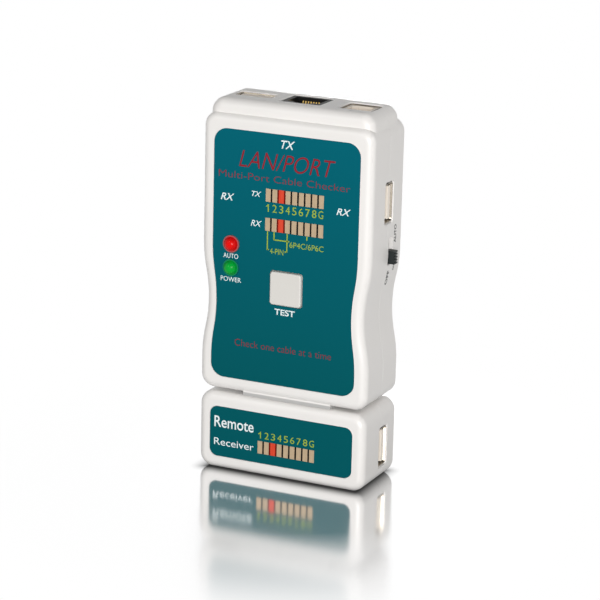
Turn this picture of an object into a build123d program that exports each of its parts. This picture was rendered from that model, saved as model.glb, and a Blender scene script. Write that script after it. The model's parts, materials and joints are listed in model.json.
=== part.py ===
from build123d import *
import os

os.makedirs("parts", exist_ok=True)

# Handheld cable tester: a main unit standing on its detachable remote.
# Frame: origin under the middle of the remote's base, +X right, -Y towards the label, +Z up.
# All sizes are in millimetres.

# Casings
width = 65.0
depth = 28.0
front = -depth / 2
back = depth / 2
wall = 2.0
front_rounding = 2.8
back_rounding = 1.8
seam_gap = 0.1

remote_height = 28.6
remote_corner = 5.0
remote_seam = 2.5

unit_gap = 1.3
main_bottom = remote_height + unit_gap
main_top = 130.3
main_seam = 1.0
lower_corner = 5.0
upper_corner = 5.0
waist_low = 42.0
waist_high = 84.0
waist_dip = 2.3

# Raised block around the top sockets
block_front = -12.0
block_base = main_top - 4.0
block_top = 135.2
block_half = 31.5
block_slope_height = 132.2
block_slope_half = 31.0
block_top_half = 28.2
block_side_rounding = 4.4
block_rounding = 3.6

# Labels, each a thin sheet in a shallow recess
label_recess = 0.4
label_thickness = 0.3
label_half = 27.9
label_low = 34.9
label_high = 125.1
label_corner = 5.0
label_dip = 1.8
remote_label_low = 4.8
remote_label_high = 23.5
remote_label_corner = 3.0
label_face = front + label_recess - label_thickness

# Rows of nine flat lights
lamp_pitch = 2.54
lamp_count = 9
lamp_width = 1.86
lamp_height = 4.65
lit_lamp = 3
row_length = (lamp_count - 1) * lamp_pitch + lamp_width
window_margin = 0.2
tx_row = (3.44, 103.2)
rx_row = (3.44, 92.8)
remote_row = (2.27, 10.7)

# Round lights
dome_radius = 2.6
round_lamp_radius = 3.1
round_lamp_flange = 3.5
collar_proud = 0.25
round_lamp_x = -20.7
auto_lamp_z = 84.0
power_lamp_z = 75.4
lamp_proud = 2.2

# Circuit boards, behind the label side
board_front = -7.4
board_thickness = 1.6
board_back = board_front + board_thickness
board_half = 27.4
board_low = 65.0
board_high = 126.5
remote_board_low = 3.0
remote_board_high = 22.8

# Test button and its tactile switch
button_size = 12.0
button_corner = 1.2
button_x = 1.0
button_z = 70.4
button_face = -15.0
button_clearance = 0.3
button_hole = button_size + 2 * button_clearance
tact_size = 6.0
tact_height = 2.4

# Slide switch on the right side
knob_face = 34.7
knob_y = 3.9
knob_thickness = 2.6
knob_low = 80.1
knob_height = 4.7
knob_travel = 4.0
switch_face = 29.8
switch_depth = 4.5
switch_y = 3.9
switch_width = 6.6
switch_low = 76.4
switch_high = 92.5
switch_sheet = 0.5

# Sockets: the mouth planes lie just inside the casing
mouth_depth = 0.3
port_fit = 0.3
port_bevel = 0.7
usb_opening_width = 14.6
usb_opening_height = 6.7
usb_opening_corner = 0.8
rj_opening_corner = 0.4
usb_width = 13.15
usb_height = 5.7
usb_sheet = 0.3
usb_depth = 14.0
rj_width = 15.2
rj_height = 12.7
rj_depth = 18.0
usb_b_width = 12.0
usb_b_height = 10.4
usb_b_depth = 16.0
usb_b_sheet = 0.35
rj_y = board_back + rj_height / 2 + 0.05
side_usb_y = 1.3
side_port_z = 102.2
remote_usb_y = 3.0
remote_port_z = 12.9
top_usb_x = -19.0
top_rj_x = 0.5
top_usb_b_x = 21.45
top_usb_b_y = -0.5
top_mouth_z = block_top - mouth_depth
side_mouth_x = width / 2 - mouth_depth

# Foot pad and the dovetail that joins the two units
pad_left = -15.3
pad_right = 18.7
pad_front = -13.2
pad_bottom = remote_height + 0.3
rail_front = -9.0
rail_neck = 6.5
rail_foot = 8.5
rail_bottom = 26.0
rail_clearance = 0.35
channel_wall = 1.8

# Screws
screw_radius = 1.5
screw_head_radius = 2.8
screw_head_height = 1.8
boss_radius = 3.2
screw_head_back = 8.0
screw_head_front = screw_head_back - screw_head_height
screw_tip = -7.0
screw_fit = 0.05
head_fit = 0.2
cross_length = 3.0
cross_width = 0.6
case_screw_spots = [(-25.0, 68.0), (25.0, 68.0), (-27.6, 115.0), (27.6, 115.0)]
remote_screw_spots = [(-10.5, 18.5), (14.5, 18.5)]
board_screw_spots = [(-23.0, 91.0), (20.5, 91.0), (-10.5, 112.8), (10.5, 112.8)]
board_screw_radius = 1.0
board_screw_head_radius = 1.9
board_screw_head_height = 1.3
board_screw_length = 3.2
standoff_radius = 2.3

# Nine-volt battery lying across the foot of the main unit
battery_left = -27.0
battery_body = 45.5
battery_height = 26.5
battery_thickness = 17.5
battery_low = 35.3
battery_back = 9.3
terminal_height = 2.9
battery_right = battery_left + battery_body
battery_middle_y = battery_back - battery_thickness / 2
battery_middle_z = battery_low + battery_height / 2
terminal_spacing = 12.7
round_terminal_radius = 2.9
hex_terminal_radius = 4.1
lead_radius = 0.55

# Battery door in the back
door_middle_x = -1.1
door_width = 52.6
door_low = 35.1
door_high = 62.1
door_gap = 0.25
door_corner = 2.0
door_height = door_high - door_low
door_middle_z = (door_low + door_high) / 2
latch_width = 7.8
latch_height = 2.4
latch_fit = 0.4


def facing(y):
    """Plane at depth y whose sketch is seen from the label side, X right and Z up."""
    return Plane.XZ.offset(-y)


def lamp_places(row):
    """Centres of the lights in a row, from left to right."""
    first = row[0] - (lamp_count - 1) * lamp_pitch / 2
    return [(first + place * lamp_pitch, row[1]) for place in range(lamp_count)]


def waisted_face(half, low, high, low_radius, high_radius, dip):
    """Tall face with round corners and one shallow smooth waist in each side."""
    quarter = (waist_high - waist_low) / 4
    stops = [
        (half - dip / 2, waist_low + quarter),
        (half - dip, waist_low + 2 * quarter),
        (half - dip / 2, waist_high - quarter),
        (half, waist_high),
    ]
    with BuildSketch() as face:
        with BuildLine():
            edge = Line((0, low), (half - low_radius, low))
            edge = TangentArc(edge @ 1, (half, low + low_radius), tangent=edge % 1)
            edge = Line(edge @ 1, (half, waist_low))
            for stop in stops:
                edge = TangentArc(edge @ 1, stop, tangent=edge % 1)
            edge = Line(edge @ 1, (half, high - high_radius))
            edge = TangentArc(edge @ 1, (half - high_radius, high), tangent=edge % 1)
            Line(edge @ 1, (0, high))
            mirror(about=Plane.YZ)
        make_face()
    return face.sketch


def main_face(inset):
    """Front outline of the main unit, moved inwards."""
    return waisted_face(
        width / 2 - inset,
        main_bottom + inset,
        main_top - inset,
        lower_corner - inset,
        upper_corner - inset,
        waist_dip,
    )


def block_face(inset):
    """Front outline of the socket block, moved inwards."""
    with BuildSketch() as face:
        with BuildLine():
            FilletPolyline(
                (-block_half + inset, block_base),
                (-block_slope_half + inset, block_slope_height - inset / 2),
                (-block_top_half + inset / 2, block_top - inset),
                (block_top_half - inset / 2, block_top - inset),
                (block_slope_half - inset, block_slope_height - inset / 2),
                (block_half - inset, block_base),
                radius=block_side_rounding - inset / 2,
            )
            Line((block_half - inset, block_base), (-block_half + inset, block_base))
        make_face()
    return face.sketch


def remote_face(inset):
    """Front outline of the remote, moved inwards."""
    with BuildSketch() as face:
        with Locations((0, remote_height / 2)):
            RectangleRounded(width - 2 * inset, remote_height - 2 * inset, remote_corner - inset)
    return face.sketch


# Mouth planes: local x runs along the socket's long side, local z points out of the casing
top_usb_mouth = Plane((top_usb_x, 0, top_mouth_z), x_dir=(-1, 0, 0), z_dir=(0, 0, 1))
top_rj_mouth = Plane((top_rj_x, rj_y, top_mouth_z), x_dir=(1, 0, 0), z_dir=(0, 0, 1))
top_usb_b_mouth = Plane((top_usb_b_x, top_usb_b_y, top_mouth_z), x_dir=(1, 0, 0), z_dir=(0, 0, 1))
side_usb_mouth = Plane((side_mouth_x, side_usb_y, side_port_z), x_dir=(0, 0, 1), z_dir=(1, 0, 0))
side_rj_mouth = Plane((-side_mouth_x, rj_y, side_port_z), x_dir=(0, 0, 1), z_dir=(-1, 0, 0))
remote_usb_mouth = Plane((side_mouth_x, remote_usb_y, remote_port_z), x_dir=(0, 0, 1), z_dir=(1, 0, 0))
remote_rj_mouth = Plane((-side_mouth_x, rj_y, remote_port_z), x_dir=(0, 0, 1), z_dir=(-1, 0, 0))


def port_tool(mouth, long_side, short_side, corner):
    """Solid that cuts a socket's opening, with a bevelled lead-in, through the casing wall."""
    opening_depth = 3.0
    with BuildPart() as tool:
        with BuildSketch(mouth.offset(mouth_depth)):
            RectangleRounded(long_side, short_side, corner)
        extrude(amount=-opening_depth)
        with BuildSketch(mouth.offset(mouth_depth - port_bevel)):
            RectangleRounded(long_side, short_side, corner)
        with BuildSketch(mouth.offset(mouth_depth + port_bevel)):
            RectangleRounded(long_side + 2 * port_bevel, short_side + 2 * port_bevel, corner + port_bevel)
        loft()
    return tool.part


def usb_a_opening(mouth):
    """Cutting solid for a USB-A socket."""
    return port_tool(mouth, usb_opening_width, usb_opening_height, usb_opening_corner)


def rj_opening(mouth):
    """Cutting solid for a modular socket."""
    return port_tool(mouth, rj_width + port_fit, rj_height + port_fit, rj_opening_corner)


# Main casing, cut later into its front and rear shells
with BuildPart() as port_block:
    with BuildSketch(facing(block_front)):
        add(block_face(0))
    extrude(amount=2 * block_front)
    end_edges = port_block.faces().filter_by(Axis.Y).edges()
    upper_edges = end_edges.filter_by_position(Axis.Z, block_base + 0.5, block_top + 1)
    fillet(upper_edges, block_rounding)

with BuildPart() as main_casing:
    with BuildSketch(facing(front)):
        add(main_face(0))
    extrude(amount=-depth)
    fillet(main_casing.faces().sort_by(Axis.Y)[0].edges(), front_rounding)
    fillet(main_casing.faces().sort_by(Axis.Y)[-1].edges(), back_rounding)
    add(port_block.part)
    with BuildSketch(facing(front + wall)):
        add(main_face(wall))
    extrude(amount=-(depth - 2 * wall), mode=Mode.SUBTRACT)
    with BuildSketch(facing(block_front + wall)):
        add(block_face(wall))
    extrude(amount=2 * (block_front + wall), mode=Mode.SUBTRACT)
    # recess and windows for the label, lights and button
    with BuildSketch(facing(front)):
        recess_low = label_low - 0.1
        recess_high = label_high + 0.1
        add(waisted_face(label_half + 0.1, recess_low, recess_high, label_corner, label_corner, label_dip))
    extrude(amount=-label_recess, mode=Mode.SUBTRACT)
    with BuildSketch(facing(front)):
        with Locations(tx_row, rx_row):
            Rectangle(row_length + 2 * window_margin, lamp_height + 2 * window_margin)
        with Locations((round_lamp_x, auto_lamp_z), (round_lamp_x, power_lamp_z)):
            Circle(round_lamp_radius + 0.1)
        with Locations((button_x, button_z)):
            RectangleRounded(button_hole, button_hole, button_corner)
    extrude(amount=-wall - 1, mode=Mode.SUBTRACT)
    # socket openings and the slide switch's slot
    add(usb_a_opening(top_usb_mouth), mode=Mode.SUBTRACT)
    add(rj_opening(top_rj_mouth), mode=Mode.SUBTRACT)
    usb_b_opening = port_tool(
        top_usb_b_mouth, usb_b_width + port_fit, usb_b_height + port_fit, usb_opening_corner
    )
    add(usb_b_opening, mode=Mode.SUBTRACT)
    add(usb_a_opening(side_usb_mouth), mode=Mode.SUBTRACT)
    add(rj_opening(side_rj_mouth), mode=Mode.SUBTRACT)
    slot_end = 0.5
    slot_side = 0.7
    with BuildSketch(Plane.YZ.offset(width / 2 + 1)):
        with Locations((knob_y, knob_low + (knob_height + knob_travel) / 2)):
            Rectangle(knob_thickness + 2 * slot_side, knob_height + knob_travel + 2 * slot_end)
    extrude(amount=-wall - 2, mode=Mode.SUBTRACT)
    # battery door opening, with a notch for the door's latch
    with BuildSketch(facing(back)):
        with Locations((door_middle_x, door_middle_z)):
            RectangleRounded(door_width + 2 * door_gap, door_height + 2 * door_gap, door_corner)
        with Locations((door_middle_x, door_high + 1)):
            Rectangle(latch_width + 2 * latch_fit, latch_height)
    extrude(amount=wall + 1, mode=Mode.SUBTRACT)
    # foot pad, its front just behind the casing's
    with BuildSketch(facing(pad_front)):
        with Locations(((pad_left + pad_right) / 2, (pad_bottom + main_bottom + wall / 2) / 2)):
            Rectangle(pad_right - pad_left, main_bottom + wall / 2 - pad_bottom)
    extrude(amount=pad_front - back + back_rounding)
    # dovetail rail under the pad
    with BuildSketch(facing(rail_front)):
        with BuildLine():
            Polyline(
                (-rail_neck, main_bottom),
                (-rail_neck, pad_bottom),
                (-rail_foot, rail_bottom),
                (rail_foot, rail_bottom),
                (rail_neck, pad_bottom),
                (rail_neck, main_bottom),
                close=True,
            )
        make_face()
    extrude(amount=rail_front - back + back_rounding)


def bars(spots, radius, start, end):
    """Round bars from depth start to depth end, for posts and the holes in them."""
    with BuildPart() as group:
        with BuildSketch(facing(start)):
            with Locations(*spots):
                Circle(radius)
        extrude(amount=start - end)
    return group.part


with BuildPart() as main_front_shell:
    add(main_casing.part)
    split(bisect_by=facing(main_seam - seam_gap / 2), keep=Keep.TOP)
    add(bars(case_screw_spots, boss_radius, front + wall / 2, main_seam - seam_gap / 2))
    screw_holes = bars(case_screw_spots, screw_radius + screw_fit, main_seam, screw_tip - 0.5)
    add(screw_holes, mode=Mode.SUBTRACT)
    add(bars(board_screw_spots, standoff_radius, front + wall / 2, board_front))
    board_hole_end = board_front - board_screw_length - 0.3
    board_holes = bars(board_screw_spots, board_screw_radius + screw_fit, board_front, board_hole_end)
    add(board_holes, mode=Mode.SUBTRACT)
    # two ribs that steady the battery
    rib_width = 1.5
    rib_end = battery_back - battery_thickness - 0.1
    with BuildSketch(facing(front + wall / 2)):
        with Locations((-15, battery_middle_z), (7, battery_middle_z)):
            Rectangle(rib_width, battery_height - 2)
    extrude(amount=-(rib_end - front - wall / 2))
main_front_shell.part.label = "main_front_shell"
export_step(main_front_shell.part, "parts/main_front_shell.step")

with BuildPart() as main_rear_shell:
    add(main_casing.part)
    split(bisect_by=facing(main_seam + seam_gap / 2), keep=Keep.BOTTOM)
    add(bars(case_screw_spots, boss_radius + 0.3, main_seam + seam_gap / 2, back - wall / 2))
    head_holes = bars(case_screw_spots, screw_head_radius + head_fit, back + 1, screw_head_front)
    add(head_holes, mode=Mode.SUBTRACT)
    add(bars(case_screw_spots, screw_radius + 0.1, back, main_seam - 1), mode=Mode.SUBTRACT)
    # shelf between the battery bay and the circuit board
    shelf_width = 42.0
    shelf_thickness = 1.5
    with BuildSketch(facing(board_back + 1)):
        with Locations((-3.0, door_high + 1.4)):
            Rectangle(shelf_width, shelf_thickness)
    extrude(amount=-(back - wall - board_back - 1))
main_rear_shell.part.label = "main_rear_shell"
export_step(main_rear_shell.part, "parts/main_rear_shell.step")

with BuildPart() as case_screws:
    add(bars(case_screw_spots, screw_head_radius, screw_head_back, screw_head_front))
    add(bars(case_screw_spots, screw_radius, screw_head_front, screw_tip))
    with BuildSketch(facing(screw_head_back)):
        with Locations(*case_screw_spots):
            Rectangle(cross_length, cross_width)
            Rectangle(cross_width, cross_length)
    extrude(amount=1.0, mode=Mode.SUBTRACT)
case_screws.part.label = "case_screws"
export_step(case_screws.part, "parts/case_screws.step")


# Remote casing
with BuildPart() as remote_casing:
    with BuildSketch(facing(front)):
        add(remote_face(0))
    extrude(amount=-depth)
    fillet(remote_casing.faces().sort_by(Axis.Y)[0].edges(), front_rounding)
    fillet(remote_casing.faces().sort_by(Axis.Y)[-1].edges(), back_rounding)
    with BuildSketch(facing(front + wall)):
        add(remote_face(wall))
    extrude(amount=-(depth - 2 * wall), mode=Mode.SUBTRACT)
    with BuildSketch(facing(front)):
        with Locations((0, (remote_label_low + remote_label_high) / 2)):
            RectangleRounded(
                2 * label_half + 0.2,
                remote_label_high - remote_label_low + 0.2,
                remote_label_corner,
            )
    extrude(amount=-label_recess, mode=Mode.SUBTRACT)
    with BuildSketch(facing(front)):
        with Locations(remote_row):
            Rectangle(row_length + 2 * window_margin, lamp_height + 2 * window_margin)
    extrude(amount=-wall - 1, mode=Mode.SUBTRACT)
    add(usb_a_opening(remote_usb_mouth), mode=Mode.SUBTRACT)
    add(rj_opening(remote_rj_mouth), mode=Mode.SUBTRACT)
    # closed channel for the rail, open at the back
    channel_half = rail_foot + rail_clearance + channel_wall
    channel_bottom = rail_bottom - rail_clearance - channel_wall
    with BuildSketch(facing(rail_front - rail_clearance - channel_wall)):
        with Locations((0, (channel_bottom + remote_height) / 2)):
            Rectangle(2 * channel_half, remote_height - channel_bottom)
    extrude(amount=-(back - rail_front + rail_clearance + channel_wall) + back_rounding)
    with BuildSketch(facing(rail_front - rail_clearance)):
        with BuildLine():
            Polyline(
                (-rail_neck - rail_clearance, pad_bottom),
                (-rail_foot - rail_clearance, rail_bottom - rail_clearance),
                (rail_foot + rail_clearance, rail_bottom - rail_clearance),
                (rail_neck + rail_clearance, pad_bottom),
                close=True,
            )
        make_face()
    extrude(amount=-depth, mode=Mode.SUBTRACT)

with BuildPart() as remote_front_shell:
    add(remote_casing.part)
    split(bisect_by=facing(remote_seam - seam_gap / 2), keep=Keep.TOP)
    add(bars(remote_screw_spots, boss_radius, front + wall / 2, remote_seam - seam_gap / 2))
    remote_holes = bars(remote_screw_spots, screw_radius + screw_fit, remote_seam, screw_tip - 0.5)
    add(remote_holes, mode=Mode.SUBTRACT)
    # pads that carry the remote's board
    with BuildSketch(facing(front + wall / 2)):
        with Locations((-22, 5.5), (22, 5.5), (-22, 20), (22, 20)):
            Rectangle(4, 2.5)
    extrude(amount=-(board_front - front - wall / 2))
remote_front_shell.part.label = "remote_front_shell"
export_step(remote_front_shell.part, "parts/remote_front_shell.step")

with BuildPart() as remote_rear_shell:
    add(remote_casing.part)
    split(bisect_by=facing(remote_seam + seam_gap / 2), keep=Keep.BOTTOM)
    add(bars(remote_screw_spots, boss_radius + 0.3, remote_seam + seam_gap / 2, back - wall / 2))
    remote_head_holes = bars(remote_screw_spots, screw_head_radius + head_fit, back + 1, screw_head_front)
    add(remote_head_holes, mode=Mode.SUBTRACT)
    add(bars(remote_screw_spots, screw_radius + 0.1, back, remote_seam - 1), mode=Mode.SUBTRACT)
remote_rear_shell.part.label = "remote_rear_shell"
export_step(remote_rear_shell.part, "parts/remote_rear_shell.step")

with BuildPart() as remote_screws:
    add(bars(remote_screw_spots, screw_head_radius, screw_head_back, screw_head_front))
    add(bars(remote_screw_spots, screw_radius, screw_head_front, screw_tip))
    with BuildSketch(facing(screw_head_back)):
        with Locations(*remote_screw_spots):
            Rectangle(cross_length, cross_width)
            Rectangle(cross_width, cross_length)
    extrude(amount=1.0, mode=Mode.SUBTRACT)
remote_screws.part.label = "remote_screws"
export_step(remote_screws.part, "parts/remote_screws.step")


# Printed labels
with BuildPart() as main_label:
    with BuildSketch(facing(front + label_recess)):
        add(waisted_face(label_half, label_low, label_high, label_corner, label_corner, label_dip))
        with Locations(tx_row, rx_row):
            Rectangle(row_length + 0.1, lamp_height + 0.1, mode=Mode.SUBTRACT)
        with Locations((round_lamp_x, auto_lamp_z), (round_lamp_x, power_lamp_z)):
            Circle(round_lamp_radius + 0.1, mode=Mode.SUBTRACT)
        with Locations((button_x, button_z)):
            RectangleRounded(button_hole, button_hole, button_corner, mode=Mode.SUBTRACT)
    extrude(amount=label_thickness)
main_label.part.label = "main_label"
export_step(main_label.part, "parts/main_label.step")

with BuildPart() as remote_label:
    with BuildSketch(facing(front + label_recess)):
        with Locations((0, (remote_label_low + remote_label_high) / 2)):
            RectangleRounded(2 * label_half, remote_label_high - remote_label_low, remote_label_corner)
        with Locations(remote_row):
            Rectangle(row_length + 0.1, lamp_height + 0.1, mode=Mode.SUBTRACT)
    extrude(amount=label_thickness)
remote_label.part.label = "remote_label"
export_step(remote_label.part, "parts/remote_label.step")


# Rows of flat lights
def flat_lamps(places, name):
    """Flat lights with two leads each, whose faces are level with the label."""
    body_depth = 6.3
    lead_gap = 2.54
    with BuildPart() as lamps:
        with BuildSketch(facing(label_face)):
            with Locations(*places):
                Rectangle(lamp_width, lamp_height)
        extrude(amount=-body_depth)
        with BuildSketch(facing(label_face + body_depth)):
            with Locations(*places):
                with Locations((0, lead_gap / 2), (0, -lead_gap / 2)):
                    Rectangle(0.5, 0.5)
        extrude(amount=-(board_front - label_face - body_depth))
    lamps.part.label = name
    export_step(lamps.part, f"parts/{name}.step")


def lamp_spacers(row, name):
    """Black comb that keeps the light of one flat lamp out of the next."""
    tooth = lamp_pitch - lamp_width - 0.04
    tooth_front = label_face + 0.04
    comb_height = 1.0
    comb_front = front + wall + 0.1
    comb_depth = 4.0
    middles = [(x + lamp_pitch / 2, z) for x, z in lamp_places(row)[:-1]]
    with BuildPart() as comb:
        with BuildSketch(facing(tooth_front)):
            with Locations(*middles):
                Rectangle(tooth, lamp_height)
        extrude(amount=-(comb_front + comb_depth - tooth_front))
        with BuildSketch(facing(comb_front)):
            with Locations((row[0], row[1] - (lamp_height + comb_height) / 2 - 0.02)):
                Rectangle(row_length + 2, comb_height)
            with Locations(*[(x, z - 0.3) for x, z in middles]):
                Rectangle(tooth, lamp_height + 0.6)
        extrude(amount=-comb_depth)
    comb.part.label = name
    export_step(comb.part, f"parts/{name}.step")


for row, prefix in ((tx_row, "tx"), (rx_row, "rx"), (remote_row, "remote")):
    places = lamp_places(row)
    lit_place = places.pop(lit_lamp - 1)
    flat_lamps(places, f"{prefix}_lamp_row")
    flat_lamps([lit_place], f"{prefix}_lamp_{lit_lamp}")
    lamp_spacers(row, f"{prefix}_lamp_spacers")


# Round lights
def round_lamp(z, name):
    """Domed light with a collar in the casing's hole, a flange behind it and two leads."""
    flange_front = front + wall + 0.1
    flange_thickness = 1.0
    with BuildPart() as lamp:
        with BuildSketch(facing(front - lamp_proud)):
            with Locations((round_lamp_x, z)):
                Circle(dome_radius)
        extrude(amount=-(flange_front - front + lamp_proud))
        fillet(lamp.faces().sort_by(Axis.Y)[0].edges(), dome_radius - 0.1)
        with BuildSketch(facing(front - collar_proud)):
            with Locations((round_lamp_x, z)):
                Circle(round_lamp_radius)
        extrude(amount=-(flange_front - front + collar_proud))
        with BuildSketch(facing(flange_front)):
            with Locations((round_lamp_x, z)):
                Circle(round_lamp_flange)
        extrude(amount=-flange_thickness)
        with BuildSketch(facing(flange_front + flange_thickness)):
            with Locations((round_lamp_x, z)):
                with GridLocations(2.54, 0, 2, 1):
                    Rectangle(0.5, 0.5)
        extrude(amount=-(board_front - flange_front - flange_thickness))
    lamp.part.label = name
    export_step(lamp.part, f"parts/{name}.step")


round_lamp(auto_lamp_z, "auto_lamp")
round_lamp(power_lamp_z, "power_lamp")


# Test button and tactile switch
button_rim = 1.2
button_flange_front = front + wall + 0.05
button_rear = front + wall + 1.0
with BuildPart() as test_button:
    with BuildSketch(facing(button_face)):
        with Locations((button_x, button_z)):
            RectangleRounded(button_size, button_size, button_corner)
    extrude(amount=-(front + wall + 0.6 - button_face))
    fillet(test_button.faces().sort_by(Axis.Y)[0].edges(), 0.6)
    with BuildSketch(facing(button_flange_front)):
        with Locations((button_x, button_z)):
            RectangleRounded(button_size + 2 * button_rim, button_size + 2 * button_rim, button_corner)
    extrude(amount=-(button_rear - button_flange_front))
test_button.part.label = "test_button"
export_step(test_button.part, "parts/test_button.step")

tact_front = board_front - tact_height
plunger_radius = 1.75
with BuildPart() as tact_switch_body:
    with BuildSketch(facing(board_front)):
        with Locations((button_x, button_z)):
            Rectangle(tact_size, tact_size)
    extrude(amount=tact_height)
    with BuildSketch(facing(tact_front)):
        with Locations((button_x, button_z)):
            Circle(plunger_radius + 0.15)
    extrude(amount=-tact_height + 0.4, mode=Mode.SUBTRACT)
tact_switch_body.part.label = "tact_switch_body"
export_step(tact_switch_body.part, "parts/tact_switch_body.step")

with BuildPart() as tact_switch_plunger:
    with BuildSketch(facing(button_rear)):
        with Locations((button_x, button_z)):
            Circle(plunger_radius)
    extrude(amount=-(tact_front - button_rear) - 1.2)
tact_switch_plunger.part.label = "tact_switch_plunger"
export_step(tact_switch_plunger.part, "parts/tact_switch_plunger.step")


# Slide switch: sheet steel frame, base with pins, and the knob
switch_middle = (switch_low + switch_high) / 2
switch_back = switch_face - switch_depth
neck_thickness = 2.0
neck_height = 3.3
slider_height = 5.7
notch_pitch = 1.05
notch_width = 0.45
knob_middle = knob_low + knob_height / 2
with BuildPart() as slide_switch_frame:
    with BuildSketch(Plane.YZ.offset(switch_back)):
        with Locations((switch_y, switch_middle)):
            Rectangle(switch_width, switch_high - switch_low)
    extrude(amount=switch_depth)
    with BuildSketch(Plane.YZ.offset(switch_back)):
        with Locations((switch_y, switch_middle)):
            Rectangle(switch_width - 2 * switch_sheet, switch_high - switch_low - 2 * switch_sheet)
    extrude(amount=switch_depth - switch_sheet, mode=Mode.SUBTRACT)
    with BuildSketch(Plane.YZ.offset(switch_face)):
        with Locations((switch_y, knob_middle + knob_travel / 2)):
            Rectangle(neck_thickness + 0.6, neck_height + knob_travel + 0.6)
    extrude(amount=-switch_sheet, mode=Mode.SUBTRACT)
slide_switch_frame.part.label = "slide_switch_frame"
export_step(slide_switch_frame.part, "parts/slide_switch_frame.step")

with BuildPart() as slide_switch_base:
    with BuildSketch(Plane.YZ.offset(switch_back)):
        with Locations((switch_y, switch_middle)):
            Rectangle(switch_width, switch_high - switch_low)
    extrude(amount=-0.8)
    pin_low = switch_y - switch_width / 2
    with BuildSketch(Plane.YZ.offset(switch_back - 0.1)):
        with Locations(*[((pin_low + board_back) / 2, switch_middle + step) for step in (-3.8, 0, 3.8)]):
            Rectangle(pin_low - board_back, 0.7)
    extrude(amount=-0.6)
slide_switch_base.part.label = "slide_switch_base"
export_step(slide_switch_base.part, "parts/slide_switch_base.step")

with BuildPart() as slide_switch_knob:
    with BuildSketch(Plane.YZ.offset(switch_face + 0.4)):
        with Locations((knob_y, knob_middle)):
            Rectangle(knob_thickness, knob_height)
    extrude(amount=knob_face - switch_face - 0.4)
    # grip notches across the knob's outer face
    with BuildSketch(Plane.YZ.offset(knob_face)):
        with Locations((knob_y, knob_middle)):
            with GridLocations(0, notch_pitch, 1, 4):
                Rectangle(knob_thickness, notch_width)
    extrude(amount=-notch_width, mode=Mode.SUBTRACT)
    with BuildSketch(Plane.YZ.offset(switch_face + 0.4)):
        with Locations((knob_y, knob_middle)):
            Rectangle(neck_thickness, neck_height)
    extrude(amount=-2.0)
    with BuildSketch(Plane.YZ.offset(switch_face - switch_sheet - 0.3)):
        with Locations((knob_y, knob_middle)):
            Rectangle(switch_width - 1.6, slider_height)
    extrude(amount=-(switch_depth - switch_sheet - 0.6))
slide_switch_knob.part.label = "slide_switch_knob"
export_step(slide_switch_knob.part, "parts/slide_switch_knob.step")


# Sockets
def usb_a_socket(mouth, board_reach, prefix):
    """USB-A socket: shell with two legs, a tongue on the side away from the board, and contacts."""
    inner_width = usb_width - 2 * usb_sheet
    inner_height = usb_height - 2 * usb_sheet
    tongue_width = 11.7
    tongue_thickness = 1.84
    tongue_middle = -1.1
    block_depth = 3.2
    tongue_start = 0.4
    leg_width = 2.0
    leg_place = usb_width / 2 - usb_sheet / 2
    lip_depth = 1.0
    flare = 0.45
    with BuildPart() as shell:
        with BuildSketch(mouth):
            RectangleRounded(usb_width, usb_height, 0.5)
            RectangleRounded(inner_width, inner_height, 0.3, mode=Mode.SUBTRACT)
        extrude(amount=-usb_depth)
        # lip that flares outwards at the mouth
        with BuildSketch(mouth.offset(-lip_depth)):
            RectangleRounded(usb_width, usb_height, 0.5)
        with BuildSketch(mouth):
            RectangleRounded(usb_width + 2 * flare, usb_height + 2 * flare, 0.5 + flare)
        loft()
        with BuildSketch(mouth.offset(-lip_depth)):
            RectangleRounded(inner_width, inner_height, 0.3)
        with BuildSketch(mouth):
            RectangleRounded(inner_width + 2 * flare, inner_height + 2 * flare, 0.3 + flare)
        loft(mode=Mode.SUBTRACT)
        with BuildSketch(mouth.offset(-usb_depth)):
            RectangleRounded(usb_width, usb_height, 0.5)
        extrude(amount=usb_sheet)
        with BuildSketch(mouth.offset(-usb_depth + 4.0)):
            with Locations((0, usb_height / 2 + board_reach / 2 - 0.5)):
                with GridLocations(2 * leg_place, 0, 2, 1):
                    Rectangle(usb_sheet, board_reach + 1.0)
        extrude(amount=-leg_width)
    shell.part.label = f"{prefix}_shell"
    export_step(shell.part, f"parts/{prefix}_shell.step")

    with BuildPart() as tongue:
        with BuildSketch(mouth.offset(-usb_depth + usb_sheet)):
            RectangleRounded(inner_width - 0.1, inner_height - 0.1, 0.3)
        extrude(amount=block_depth)
        with BuildSketch(mouth.offset(-usb_depth + usb_sheet + block_depth)):
            with Locations((0, tongue_middle)):
                Rectangle(tongue_width, tongue_thickness)
        extrude(amount=usb_depth - usb_sheet - block_depth - tongue_start)
    tongue.part.label = f"{prefix}_tongue"
    export_step(tongue.part, f"parts/{prefix}_tongue.step")

    contact_thickness = 0.25
    contact_length = 8.4
    with BuildPart() as contacts:
        with BuildSketch(mouth.offset(-usb_depth + usb_sheet + block_depth)):
            for x in (-3.5, -1.0, 1.0, 3.5):
                with Locations((x, tongue_middle + (tongue_thickness + contact_thickness) / 2)):
                    Rectangle(1.0, contact_thickness)
        extrude(amount=contact_length)
    contacts.part.label = f"{prefix}_contacts"
    export_step(contacts.part, f"parts/{prefix}_contacts.step")


usb_a_socket(top_usb_mouth, -board_back - usb_height / 2, "top_usb_a")
usb_a_socket(side_usb_mouth, side_usb_y - board_back - usb_height / 2, "side_usb_a")
usb_a_socket(remote_usb_mouth, remote_usb_y - board_back - usb_height / 2, "remote_usb_a")


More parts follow.
